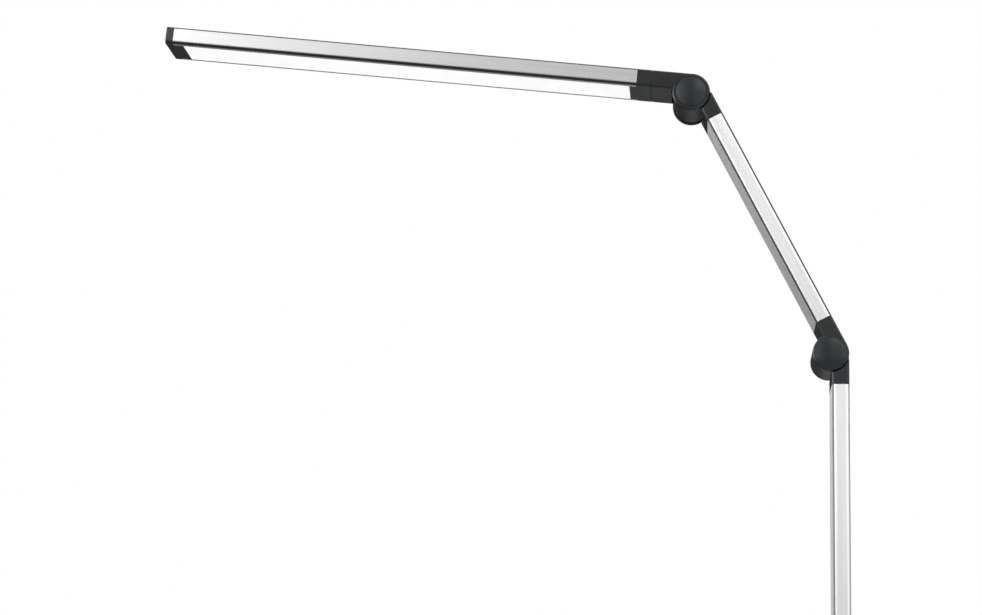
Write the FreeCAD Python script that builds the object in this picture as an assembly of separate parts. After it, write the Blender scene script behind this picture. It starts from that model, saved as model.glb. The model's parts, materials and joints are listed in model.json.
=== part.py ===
import FreeCAD, Part
import math
import os

# Clamp-on swing-arm lamp with a flat LED bar for a head.
# Millimetres, +Z up. Hinge axes run along Y, and the arms fold towards -X, over the table.
# The origin is the middle of the upper jaw's seat, on the axis that the lamp swivels about.

V = FreeCAD.Vector
ORIGIN = V(0, 0, 0)
X_AXIS = V(1, 0, 0)
Y_AXIS = V(0, 1, 0)
Z_AXIS = V(0, 0, 1)
BOTH_SIDES = (1, -1)

# Fits
RUN_FIT = 0.05          # between faces that turn on each other
HOLD_FIT = 0.02         # round a pressed or threaded piece
SLIP_FIT = 0.15         # between a plug and what it slides into
LOOSE_FIT = 0.3         # round a cable or a tip that only lies in its hole
OVERCUT = 1.0           # how far a cutting shape runs past the face that it opens

# Hinges: a fork with two round ears on the outer link, a barrel between them on the inner one
HINGE_R = 16.0
HINGE_CLEAR = 1.0       # radial gap behind a barrel or an ear
EAR_T = 6.0
EAR_WEB = 2.0           # what is left of an ear under the bolt head
EAR_GAP = 0.8           # between an ear and the barrel, filled by a friction washer
WASHER_R = 12.5
BOLT_R = 4.0
BOLT_HEAD_R = 6.5
BOLT_HEAD_T = 2.4
BOLT_KEY_AF = 5.0
BOLT_KEY_DEPTH = 1.3
BOLT_END = 0.3          # how far a bolt stands out of its nut
NUT_AF = 13.0
NUT_T = 2.0
SPRING_R = 6.8
SPRING_T = 0.5
POCKET_R = 9.6          # pocket for the bolt head or the nut, under the cap
BUSH_WALL = 2.0
CAP_R = 13.6
CAP_T = 2.0
CAP_CROWN = 0.8
CAP_BEVEL = 0.6
CAP_RING_WALL = 1.2
CAP_RING_H = 1.5

# Arms: flat extrusions whose outer face is tangent to the hinge discs
ARM_DEPTH = 58.0
LOWER_LENGTH = 400.0    # hinge to hinge
LOWER_THICK = 15.2
LOWER_FORK_LEN = 31.0
LOWER_KNUCKLE_LEN = 27.8
LOWER_TILT = 0.87       # from upright, clockwise seen from the front, at rest
UPPER_LENGTH = 266.0
UPPER_THICK = 15.0
UPPER_FORK_LEN = 29.8
UPPER_KNUCKLE_LEN = 29.8
UPPER_TILT = -26.58
EDGE = 1.2              # chamfer round an ear
ARM_EDGE_R = 1.8        # rounding along the arms
TUBE_WALL = 1.6
TUBE_INNER_EDGE = 0.6
PLUG_LEN = 24.0
CABLE_R = 2.2
CABLE_END = 20.0        # from a hinge axis to the end of the cable inside the arm

# Head: yoke, swivel and LED bar, measured from the head hinge along the bar
HEAD_TILT = -83.56
HEAD_DEPTH = 58.0
HEAD_THICK = 15.5
HEAD_R = 16.9           # of the yoke's ears, tangent to the top of the head
YOKE_LEN = 36.0
SPLIT_GAP = 0.25        # between the yoke and the bar that swivels on it
NEAR_CAP_LEN = 13.35
NEAR_TONGUE = 6.2
FAR_TONGUE = 8.6
HOUSING_LEN = 423.2
FAR_CAP_LEN = 7.0
RAIL_W = 6.5
RAIL_T = 1.6
RAIL_EDGE_R = 3.4       # rounding beside the light
TOP_EDGE_R = 2.0        # rounding along the top of the head
HEAD_WALL = 1.6
HEAD_TOP = 2.0
DIFFUSER_LIP_W = 2.4
DIFFUSER_LIP_T = 1.2
DIFFUSER_INSET = 0.2
BOARD_W = 40.0
BOARD_T = 1.2
BOARD_END_GAP = 3.0     # from the end of a tongue to the LED board
LED_W = 3.0
LED_T = 0.9
LED_PITCH = 20.0
LED_ROW_Y = 9.0
PORT_R = 2.7            # screw ports along the side walls of the extrusion
PORT_BITE = 0.8         # how deep a port sinks into the side wall
SCREW_R = 1.5
SCREW_HEAD_R = 2.9
SCREW_HEAD_T = 1.6
SCREW_GRIP = 12.0       # thread inside a port

# Head swivel: a hollow shaft held in the yoke
SHAFT_R = 3.5
SHAFT_BORE_R = 2.2
SHAFT_START = 20.0
SWIVEL_WALL = 8.4       # cap wall that turns on the shaft
SWIVEL_NUT_AF = 8.8
SWIVEL_NUT_T = 2.4
SWIVEL_SPRING_R = 4.9
SWIVEL_SPRING_T = 0.7
SHAFT_TIP = 0.8
SWIVEL_RING_R = 6.0
SWIVEL_POCKET_HALF = 8.0

# Power button on top of the cap beside the swivel
BUTTON_R = 3.8
BUTTON_GAP = 0.2
BUTTON_PROUD = 0.6
BUTTON_CROWN = 0.4
BUTTON_FLANGE_W = 1.0
BUTTON_FLANGE_T = 1.2
BUTTON_TRAVEL = 1.0
BUTTON_SIDE = 16.5      # from the middle of the head towards the back
BUTTON_SKIN = 3.0
CHAMBER_HALF = 5.2
CHAMBER_FLOOR_T = 3.0
SWITCH_W = 6.0
SWITCH_T = 3.6
PLUNGER_R = 1.75
SWITCH_BOARD_T = 1.2
SWITCH_REST_GAP = 0.1

# Clamp: the jaws open towards -X, and a spindle closes them from below
PAD_T = 3.0
PAD_BACK = 0.6          # from the pad to the corner in the bracket
PAD_SIDE = 3.0          # from the pad to the sides of the jaw
PAD_CORNER = 3.0
CLAMP_DEPTH = 52.0
JAW_REACH = 38.0
JAW_T = 7.0
LOWER_JAW_REACH = 18.0
LOWER_JAW_T = 8.0
THROAT = 69.0           # between the bare jaws
WEB_X = 26.0
WEB_T = 8.0
JAW_FRONT_R = 10.0
OUTER_CORNER_R = 8.0
INNER_CORNER_R = 4.0
LIP_R = 1.4
RIB_H = 6.0
RIB_T = 8.0
RIB_END = 6.0
BOSS_R = 25.0
BOSS_H = 6.0
BOSS_EDGE = 1.0
NUT_BOSS_R = 13.0
NUT_BOSS_UNDER = 6.0
NUT_BOSS_OVER = 2.0
SPINDLE_NUT_R = 8.0
SPINDLE_R = 5.0
SPINDLE_TIP_EDGE = 1.0
REST_GAP = 30.0         # open gap between the pads as drawn
CLOSE_TRAVEL = 26.0
KNOB_MARGIN = 1.5
PRESS_R = 17.0
PRESS_T = 3.0
PRESS_EDGE = 0.8
PRESS_PAD_R = 15.5
PRESS_PAD_T = 2.0
HUB_R = 9.0
HUB_H = 7.0
SOCKET_DEPTH = 6.0
KNOB_R = 19.0
KNOB_H = 18.0
KNOB_EDGE = 2.0
KNOB_HOLE = 14.0
KNOB_FLUTES = 8
KNOB_FLUTE_R = 5.5
KNOB_FLUTE_OUT = 2.5    # from the rim to the middle of a flute

# Swivel base: a turntable on the upper jaw, with the neck and barrel of the lowest hinge
TURN_R = 28.0
TURN_H = 12.2
TURN_EDGE = 2.0
BASE_CLEAR = 4.0        # under the ears
NECK_HALF = 9.0
NECK_FOOT = 14.0
NECK_RISE = 3.0
THRUST_T = 0.8
THRUST_R = 24.0
SWIVEL_BOLT_R = 5.0
SWIVEL_BOLT_HEAD_AF = 16.0
SWIVEL_BOLT_HEAD_T = 4.6
SWIVEL_BOLT_GRIP = 10.0
SWIVEL_WASHER_R = 9.5
SWIVEL_WASHER_T = 1.4
SWIVEL_POCKET_R = 11.0
SWIVEL_POCKET_DEPTH = 8.0
GLAND_FLAT = 0.8
GLAND_R = 4.2
GLAND_DEPTH = 8.0
GLAND_FLANGE_R = 5.4
GLAND_FLANGE_T = 1.5
GLAND_BORE_R = 2.6

# Worked out from the sizes above
ARM_HALF = ARM_DEPTH / 2
HEAD_HALF = HEAD_DEPTH / 2
CLAMP_HALF = CLAMP_DEPTH / 2
PAD_HALF_X = WEB_X - LIP_R - PAD_BACK
PAD_HALF_Y = CLAMP_HALF - PAD_SIDE
BUSH_R = BOLT_R + RUN_FIT + BUSH_WALL
ARM_BARREL_HALF = ARM_HALF - EAR_T - EAR_GAP
HEAD_BARREL_HALF = HEAD_HALF - EAR_T - EAR_GAP

HEAD_INNER = HEAD_R - HEAD_THICK             # the face with the light
HEAD_MID = HEAD_R - HEAD_THICK / 2
NEAR_START = YOKE_LEN + SPLIT_GAP
HOUSING_START = NEAR_START + NEAR_CAP_LEN
HOUSING_END = HOUSING_START + HOUSING_LEN
HEAD_END = HOUSING_END + FAR_CAP_LEN
LIGHT_START = HOUSING_START + NEAR_TONGUE
LIGHT_END = HOUSING_END - FAR_TONGUE
WINDOW_HALF = HEAD_HALF - RAIL_W
CAVITY_HALF = HEAD_HALF - HEAD_WALL
CAVITY_LOW = HEAD_INNER + RAIL_T
CAVITY_HIGH = HEAD_R - HEAD_TOP
PORT_X = (CAVITY_LOW + CAVITY_HIGH) / 2
PORT_Y = CAVITY_HALF - PORT_R + PORT_BITE
BUTTON_Z = NEAR_START + NEAR_CAP_LEN / 2
BUTTON_CEILING = HEAD_R - BUTTON_SKIN
CHAMBER_FLOOR = HEAD_INNER + CHAMBER_FLOOR_T
BUTTON_FLANGE_TOP = BUTTON_CEILING - SWITCH_REST_GAP
BUTTON_FLANGE_LOW = BUTTON_FLANGE_TOP - BUTTON_FLANGE_T
SHAFT_NUT_START = NEAR_START + SWIVEL_WALL + RUN_FIT + SWIVEL_SPRING_T
SHAFT_END = SHAFT_NUT_START + SWIVEL_NUT_T + SHAFT_TIP

JAW_TOP = PAD_T + JAW_T
BOSS_TOP = JAW_TOP + BOSS_H
BACK_X = WEB_X + WEB_T
LOWER_JAW_TOP = PAD_T - THROAT
LOWER_JAW_LOW = LOWER_JAW_TOP - LOWER_JAW_T
NUT_BOSS_TOP = LOWER_JAW_TOP + NUT_BOSS_OVER
NUT_BOSS_LOW = LOWER_JAW_LOW - NUT_BOSS_UNDER
PRESS_TOP = -REST_GAP - PRESS_PAD_T
PRESS_LOW = PRESS_TOP - PRESS_T
HUB_LOW = PRESS_LOW - HUB_H
SPINDLE_TOP = HUB_LOW + SOCKET_DEPTH
KNOB_TOP = NUT_BOSS_LOW - CLOSE_TRAVEL - KNOB_MARGIN
KNOB_LOW = KNOB_TOP - KNOB_H
SWIVEL_CEILING = PAD_T + SWIVEL_POCKET_DEPTH
TURN_LOW = BOSS_TOP + THRUST_T + RUN_FIT
TURN_TOP = TURN_LOW + TURN_H
BASE_HINGE_Z = TURN_TOP + BASE_CLEAR + HINGE_R
GLAND_Z = TURN_LOW + (TURN_H - TURN_EDGE) / 2

# Each link is drawn upright, with its own lower hinge at the origin and its outer face at +X
BASE_HINGE = V(0, 0, BASE_HINGE_Z)
LOWER_ARM = FreeCAD.Placement(BASE_HINGE, FreeCAD.Rotation(Y_AXIS, LOWER_TILT))
ELBOW = LOWER_ARM.multVec(V(0, 0, LOWER_LENGTH))
UPPER_ARM = FreeCAD.Placement(ELBOW, FreeCAD.Rotation(Y_AXIS, UPPER_TILT))
HEAD_HINGE = UPPER_ARM.multVec(V(0, 0, UPPER_LENGTH))
HEAD = FreeCAD.Placement(HEAD_HINGE, FreeCAD.Rotation(Y_AXIS, HEAD_TILT))


# Basic forms

def box(x0, x1, y0, y1, z0, z1):
    return Part.makeBox(x1 - x0, y1 - y0, z1 - z0, V(x0, y0, z0))


def rod_x(radius, x0, x1, y, z):
    return Part.makeCylinder(radius, x1 - x0, V(x0, y, z), X_AXIS)


def rod_y(radius, y0, y1, z=0):
    return Part.makeCylinder(radius, y1 - y0, V(0, y0, z), Y_AXIS)


def rod_z(radius, z0, z1, x=0, y=0):
    return Part.makeCylinder(radius, z1 - z0, V(x, y, z0), Z_AXIS)


def ring_z(inner, outer, z0, z1, x=0):
    return rod_z(outer, z0, z1, x).cut(rod_z(inner, z0 - OVERCUT, z1 + OVERCUT, x))


def hex_z(across, z0, z1, x=0):
    radius = across / math.sqrt(3)
    turns = [math.radians(60 * i) for i in range(7)]
    corners = [V(x + radius * math.cos(t), radius * math.sin(t), z0) for t in turns]
    return Part.Face(Part.makePolygon(corners)).extrude(V(0, 0, z1 - z0))


def turned(points):
    """Solid turned about Z from (radius, height) points."""
    corners = [V(r, 0, h) for r, h in points + points[:1]]
    return Part.Face(Part.makePolygon(corners)).revolve(ORIGIN, Z_AXIS, 360)


def along_y(shape, side=1):
    """Lay a shape drawn along +Z down to point along +Y, or -Y for the other side."""
    laid = shape.copy()
    laid.rotate(ORIGIN, X_AXIS, -90 * side)
    return laid


def chamfered_bar(x0, x1, half, z0, z1, edge):
    """Flat bar along Z from x0 to x1, with chamfered edges."""
    side = [(x0, half - edge), (x0 + edge, half), (x1 - edge, half), (x1, half - edge)]
    outline = side + [(x, -y) for x, y in reversed(side)]
    corners = [V(x, y, z0) for x, y in outline + outline[:1]]
    return Part.Face(Part.makePolygon(corners)).extrude(V(0, 0, z1 - z0))


def rounded_wire(corners):
    """Closed wire through (point, radius) corners, each rounded by an arc."""
    arcs = []
    for i, (point, radius) in enumerate(corners):
        before = (corners[i - 1][0] - point).normalize()
        after = (corners[(i + 1) % len(corners)][0] - point).normalize()
        half_angle = before.getAngle(after) / 2
        reach = radius / math.tan(half_angle)
        inward = (before + after).normalize()
        middle = point + inward * (radius / math.sin(half_angle) - radius)
        arcs.append((point + before * reach, middle, point + after * reach))
    edges = []
    for i, (start, middle, end) in enumerate(arcs):
        edges.append(Part.makeLine(arcs[i - 1][2], start))
        edges.append(Part.Arc(start, middle, end).toShape())
    return Part.Wire(edges)


def rounded_bar(x0, x1, half, z0, z1, inner_r, outer_r):
    """Flat bar along Z from x0 to x1, with rounded edges."""
    outline = rounded_wire([
        (V(x0, -half, z0), inner_r),
        (V(x1, -half, z0), outer_r),
        (V(x1, half, z0), outer_r),
        (V(x0, half, z0), inner_r),
    ])
    return Part.Face(outline).extrude(V(0, 0, z1 - z0))


def placed(shape, place):
    moved = shape.copy()
    moved.Placement = place.multiply(shape.Placement)
    return moved


def save(name, shape, place=FreeCAD.Placement()):
    placed(shape, place).exportStep(f"parts/{name}.step")


# Hinge pieces, drawn about a hinge axis through the origin

def hinge_bolt(half):
    seat = half - EAR_T + EAR_WEB
    end = seat + SPRING_T + NUT_T + BOLT_END
    head_top = -seat - BOLT_HEAD_T
    shape = rod_z(BOLT_HEAD_R, head_top, -seat).fuse(rod_z(BOLT_R, -seat, end))
    return along_y(shape.cut(hex_z(BOLT_KEY_AF, head_top - OVERCUT, head_top + BOLT_KEY_DEPTH)))


def hinge_nut(half):
    start = half - EAR_T + EAR_WEB + SPRING_T
    nut = hex_z(NUT_AF, start, start + NUT_T)
    return along_y(nut.cut(rod_z(BOLT_R + HOLD_FIT, start - OVERCUT, start + NUT_T + OVERCUT)))


def hinge_spring(half):
    start = half - EAR_T + EAR_WEB
    return along_y(ring_z(BOLT_R + HOLD_FIT, SPRING_R, start, start + SPRING_T))


def hinge_washers(half):
    face = half - EAR_T
    washer = ring_z(BOLT_R + HOLD_FIT, WASHER_R, face - EAR_GAP + RUN_FIT, face)
    return Part.makeCompound([along_y(washer, side) for side in BOTH_SIDES])


def hinge_bush(barrel_half):
    return along_y(ring_z(BOLT_R + RUN_FIT, BUSH_R, -barrel_half, barrel_half))


def hinge_cap():
    """Domed disc that stands on z = 0, with the ring that snaps into the ear's pocket below."""
    crown_r = CAP_R - CAP_BEVEL
    sphere_r = (crown_r ** 2 + CAP_CROWN ** 2) / (2 * CAP_CROWN)
    half_angle = math.asin(crown_r / sphere_r) / 2
    rim = CAP_T - CAP_CROWN
    top = V(0, 0, CAP_T)
    shoulder = V(crown_r, 0, rim)
    middle = V(sphere_r * math.sin(half_angle), 0, CAP_T - sphere_r * (1 - math.cos(half_angle)))
    flank = Part.makePolygon([top, ORIGIN, V(CAP_R, 0, 0), V(CAP_R, 0, rim - CAP_BEVEL), shoulder])
    outline = Part.Wire(flank.Edges + [Part.Arc(shoulder, middle, top).toShape()])
    disc = Part.Face(outline).revolve(ORIGIN, Z_AXIS, 360)
    ring_r = POCKET_R - SLIP_FIT
    return disc.fuse(ring_z(ring_r - CAP_RING_WALL, ring_r, -CAP_RING_H, 0))


def hinge_caps(half):
    cap = hinge_cap()
    cap.translate(V(0, 0, half))
    return Part.makeCompound([along_y(cap, side) for side in BOTH_SIDES])


def save_hinge(name, half, place):
    save(f"{name}_bolt", hinge_bolt(half), place)
    save(f"{name}_nut", hinge_nut(half), place)
    save(f"{name}_spring_washer", hinge_spring(half), place)
    save(f"{name}_friction_washers", hinge_washers(half), place)
    save(f"{name}_caps", hinge_caps(half), place)


# Links

def fork(block, half, ear_r):
    """Give a block two round ears about the hinge at the origin, with room for a barrel between them."""
    face = half - EAR_T
    shape = block
    ear = turned([(0, face), (ear_r, face), (ear_r, half - EDGE), (ear_r - EDGE, half), (0, half)])
    pocket = rod_z(POCKET_R, face + EAR_WEB, half + OVERCUT)
    for side in BOTH_SIDES:
        shape = shape.fuse(along_y(ear, side))
    shape = shape.cut(rod_y(ear_r + HINGE_CLEAR, -face, face))
    for side in BOTH_SIDES:
        shape = shape.cut(along_y(pocket, side))
    return shape.cut(rod_y(BOLT_R + HOLD_FIT, -half, half)).removeSplitter()


def arm_bar(thick, z0, z1):
    return rounded_bar(HINGE_R - thick, HINGE_R, ARM_HALF, z0, z1, ARM_EDGE_R, ARM_EDGE_R)


def plug(thick, z0, z1):
    inset = TUBE_WALL + SLIP_FIT
    return chamfered_bar(HINGE_R - thick + inset, HINGE_R - inset, ARM_HALF - inset, z0, z1,
                         TUBE_INNER_EDGE)


def arm_fork(thick, length):
    end = length + PLUG_LEN
    shape = fork(arm_bar(thick, 0, length), ARM_HALF, HINGE_R).fuse(plug(thick, length - OVERCUT, end))
    return shape.cut(cable(thick, CABLE_R + LOOSE_FIT, 0, end + OVERCUT))


def arm_knuckle(thick, arm_length, length, barrel_half, ear_r):
    """Block with a barrel about the hinge at the arm's far end, its faces scooped for the next ears."""
    start = arm_length - length
    shape = arm_bar(thick, start, arm_length)
    scoop = rod_z(ear_r + HINGE_CLEAR, barrel_half, ARM_HALF + OVERCUT)
    for side in BOTH_SIDES:
        cutter = along_y(scoop, side)
        cutter.translate(V(0, 0, arm_length))
        shape = shape.cut(cutter)
    shape = shape.fuse(rod_y(HINGE_R, -barrel_half, barrel_half, arm_length))
    shape = shape.fuse(plug(thick, start - PLUG_LEN, start + OVERCUT)).removeSplitter()
    shape = shape.cut(rod_y(BUSH_R + HOLD_FIT, -barrel_half, barrel_half, arm_length))
    hole_end = arm_length - CABLE_END + LOOSE_FIT
    return shape.cut(cable(thick, CABLE_R + LOOSE_FIT, start - PLUG_LEN - OVERCUT, hole_end))


def arm_tube(thick, z0, z1):
    bore = chamfered_bar(HINGE_R - thick + TUBE_WALL, HINGE_R - TUBE_WALL, ARM_HALF - TUBE_WALL,
                         z0 - OVERCUT, z1 + OVERCUT, TUBE_INNER_EDGE)
    return arm_bar(thick, z0, z1).cut(bore)


def cable(thick, radius, z0, z1):
    return rod_z(radius, z0, z1, HINGE_R - thick / 2)


def save_arm(name, place, thick, length, fork_len, knuckle_len, barrel_half, ear_r):
    save(f"{name}_fork", arm_fork(thick, fork_len), place)
    save(f"{name}_tube", arm_tube(thick, fork_len, length - knuckle_len), place)
    save(f"{name}_knuckle", arm_knuckle(thick, length, knuckle_len, barrel_half, ear_r), place)
    save(f"{name}_cable", cable(thick, CABLE_R, CABLE_END, length - CABLE_END), place)


# Head, drawn from the head hinge upwards with the light facing -X

def head_bar(z0, z1):
    return rounded_bar(HEAD_INNER, HEAD_R, HEAD_HALF, z0, z1, RAIL_EDGE_R, TOP_EDGE_R)


def head_yoke():
    shape = fork(head_bar(0, YOKE_LEN), HEAD_HALF, HEAD_R)
    return shape.cut(rod_z(SHAFT_R + HOLD_FIT, SHAFT_START, YOKE_LEN + OVERCUT, HEAD_MID))


def swivel_shaft():
    return ring_z(SHAFT_BORE_R, SHAFT_R, SHAFT_START, SHAFT_END, HEAD_MID)


def swivel_ring():
    return ring_z(SHAFT_R + RUN_FIT, SWIVEL_RING_R, YOKE_LEN, NEAR_START - RUN_FIT, HEAD_MID)


def swivel_spring():
    start = NEAR_START + SWIVEL_WALL + RUN_FIT
    return ring_z(SHAFT_R + HOLD_FIT, SWIVEL_SPRING_R, start, start + SWIVEL_SPRING_T, HEAD_MID)


def swivel_nut():
    end = SHAFT_NUT_START + SWIVEL_NUT_T
    nut = hex_z(SWIVEL_NUT_AF, SHAFT_NUT_START, end, HEAD_MID)
    return nut.cut(rod_z(SHAFT_R + HOLD_FIT, SHAFT_NUT_START - OVERCUT, end + OVERCUT, HEAD_MID))


def cap_tenon(z0, z1):
    """The part of an end cap inside the extrusion, with room for the screw ports."""
    low = CAVITY_LOW + SLIP_FIT
    high = CAVITY_HIGH - SLIP_FIT
    half = CAVITY_HALF - SLIP_FIT
    shape = box(low, high, -half, half, z0, z1)
    for side in BOTH_SIDES:
        relief = rod_z(PORT_R + LOOSE_FIT, z0 - OVERCUT, z1 + OVERCUT, PORT_X, side * PORT_Y)
        wall_side = sorted((side * PORT_Y, side * (half + OVERCUT)))
        notch = box(PORT_X - PORT_R - LOOSE_FIT, PORT_X + PORT_R + LOOSE_FIT, *wall_side,
                    z0 - OVERCUT, z1 + OVERCUT)
        shape = shape.cut(relief).cut(notch)
    return shape


def cap_tongue(z0, z1):
    """Black strip of an end cap that closes the light window between the rails."""
    half = WINDOW_HALF - SLIP_FIT
    return box(HEAD_INNER, CAVITY_LOW + 2 * SLIP_FIT, -half, half, z0, z1)


def screw_hole(end, face, side):
    """Clearance hole and countersink of a cap screw whose head lies in the face."""
    into = 1 if end > face else -1
    radius = SCREW_R + SLIP_FIT
    hole = rod_z(radius, min(face, end), max(face, end), PORT_X, side * PORT_Y)
    sink = Part.makeCone(SCREW_HEAD_R + SLIP_FIT, radius, SCREW_HEAD_T,
                         V(PORT_X, side * PORT_Y, face), V(0, 0, into))
    return hole.fuse(sink)


def cap_screw(end, face, side):
    into = 1 if end > face else -1
    shank = rod_z(SCREW_R, min(face, end), max(face, end), PORT_X, side * PORT_Y)
    head = Part.makeCone(SCREW_HEAD_R, SCREW_R, SCREW_HEAD_T,
                         V(PORT_X, side * PORT_Y, face), V(0, 0, into))
    return shank.fuse(head)


def cap_screws(end, face):
    return Part.makeCompound([cap_screw(end, face, side) for side in BOTH_SIDES])


def near_cap():
    shape = head_bar(NEAR_START, HOUSING_START)
    shape = shape.fuse(cap_tenon(HOUSING_START, LIGHT_START)).fuse(cap_tongue(HOUSING_START, LIGHT_START))
    shape = shape.cut(rod_z(SHAFT_R + RUN_FIT, NEAR_START - OVERCUT, LIGHT_START, HEAD_MID))
    shape = shape.cut(box(CAVITY_LOW + 2 * SLIP_FIT, CAVITY_HIGH - SLIP_FIT,
                          -SWIVEL_POCKET_HALF, SWIVEL_POCKET_HALF,
                          NEAR_START + SWIVEL_WALL, LIGHT_START + OVERCUT))
    shape = shape.cut(box(CHAMBER_FLOOR, BUTTON_CEILING,
                          BUTTON_SIDE - CHAMBER_HALF, BUTTON_SIDE + CHAMBER_HALF,
                          BUTTON_Z - CHAMBER_HALF, LIGHT_START + OVERCUT))
    shape = shape.cut(rod_x(BUTTON_R + BUTTON_GAP, BUTTON_CEILING - OVERCUT, HEAD_R + OVERCUT,
                            BUTTON_SIDE, BUTTON_Z))
    for side in BOTH_SIDES:
        shape = shape.cut(screw_hole(HOUSING_START, NEAR_START, side))
    return shape.removeSplitter()


def far_cap():
    shape = head_bar(HOUSING_END, HEAD_END)
    shape = shape.fuse(cap_tenon(LIGHT_END, HOUSING_END)).fuse(cap_tongue(LIGHT_END, HOUSING_END))
    for side in BOTH_SIDES:
        shape = shape.cut(screw_hole(HOUSING_END, HEAD_END, side))
    return shape.removeSplitter()


def head_housing():
    """Extrusion with two rails beside the light and a screw port on each side wall."""
    past = (HOUSING_START - OVERCUT, HOUSING_END + OVERCUT)
    shape = head_bar(HOUSING_START, HOUSING_END)
    shape = shape.cut(box(CAVITY_LOW, CAVITY_HIGH, -CAVITY_HALF, CAVITY_HALF, *past))
    shape = shape.cut(box(HEAD_INNER - OVERCUT, CAVITY_LOW, -WINDOW_HALF, WINDOW_HALF, *past))
    for side in BOTH_SIDES:
        shape = shape.fuse(rod_z(PORT_R, HOUSING_START, HOUSING_END, PORT_X, side * PORT_Y))
    for side in BOTH_SIDES:
        shape = shape.cut(rod_z(SCREW_R + HOLD_FIT, *past, PORT_X, side * PORT_Y))
    return shape.removeSplitter()


def diffuser():
    """Opal strip between the rails, with lips that lie behind them."""
    span = (LIGHT_START + SLIP_FIT, LIGHT_END - SLIP_FIT)
    face_half = WINDOW_HALF - SLIP_FIT
    lip_half = WINDOW_HALF + DIFFUSER_LIP_W
    strip = box(HEAD_INNER + DIFFUSER_INSET, CAVITY_LOW, -face_half, face_half, *span)
    lips = box(CAVITY_LOW, CAVITY_LOW + DIFFUSER_LIP_T, -lip_half, lip_half, *span)
    return strip.fuse(lips).removeSplitter()


def led_board():
    half = BOARD_W / 2
    return box(CAVITY_HIGH - BOARD_T, CAVITY_HIGH, -half, half,
               LIGHT_START + BOARD_END_GAP, LIGHT_END - BOARD_END_GAP)


def led_chips():
    start = LIGHT_START + BOARD_END_GAP
    end = LIGHT_END - BOARD_END_GAP
    count = int((end - start) // LED_PITCH)
    first = (start + end) / 2 - LED_PITCH * (count - 1) / 2
    low = CAVITY_HIGH - BOARD_T - LED_T
    half = LED_W / 2
    chips = []
    for side in BOTH_SIDES:
        y = side * LED_ROW_Y
        for i in range(count):
            z = first + LED_PITCH * i
            chips.append(box(low, low + LED_T, y - half, y + half, z - half, z + half))
    return Part.makeCompound(chips)


def power_button():
    """Round button with the flange that keeps it under the cap's skin."""
    top = HEAD_R + BUTTON_PROUD
    flange_r = BUTTON_R + BUTTON_FLANGE_W
    points = [(0, BUTTON_FLANGE_LOW), (flange_r, BUTTON_FLANGE_LOW), (flange_r, BUTTON_FLANGE_TOP),
              (BUTTON_R, BUTTON_FLANGE_TOP), (BUTTON_R, top - BUTTON_CROWN),
              (BUTTON_R - BUTTON_CROWN, top), (0, top)]
    shape = turned(points)
    shape.rotate(ORIGIN, Y_AXIS, 90)
    shape.translate(V(0, BUTTON_SIDE, BUTTON_Z))
    return shape


def switch_board():
    half = CHAMBER_HALF - SLIP_FIT
    return box(CHAMBER_FLOOR, CHAMBER_FLOOR + SWITCH_BOARD_T, BUTTON_SIDE - half, BUTTON_SIDE + half,
               BUTTON_Z - half, LIGHT_START)


def button_switch():
    low = CHAMBER_FLOOR + SWITCH_BOARD_T
    half = SWITCH_W / 2
    case = box(low, low + SWITCH_T, BUTTON_SIDE - half, BUTTON_SIDE + half,
               BUTTON_Z - half, BUTTON_Z + half)
    plunger_top = BUTTON_FLANGE_LOW - BUTTON_TRAVEL - SWITCH_REST_GAP
    return case.fuse(rod_x(PLUNGER_R, low, plunger_top, BUTTON_SIDE, BUTTON_Z))


def save_head():
    save("head_yoke", head_yoke(), HEAD)
    save("head_swivel_shaft", swivel_shaft(), HEAD)
    save("head_swivel_ring", swivel_ring(), HEAD)
    save("head_swivel_spring_washer", swivel_spring(), HEAD)
    save("head_swivel_nut", swivel_nut(), HEAD)
    save("head_near_cap", near_cap(), HEAD)
    save("head_housing", head_housing(), HEAD)
    save("head_far_cap", far_cap(), HEAD)
    save("near_cap_screws", cap_screws(HOUSING_START + SCREW_GRIP, NEAR_START), HEAD)
    save("far_cap_screws", cap_screws(HOUSING_END - SCREW_GRIP, HEAD_END), HEAD)
    save("diffuser", diffuser(), HEAD)
    save("led_board", led_board(), HEAD)
    save("led_chips", led_chips(), HEAD)
    save("switch_board", switch_board(), HEAD)
    save("button_switch", button_switch(), HEAD)
    save("power_button", power_button(), HEAD)


# Clamp and swivel base

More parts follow.
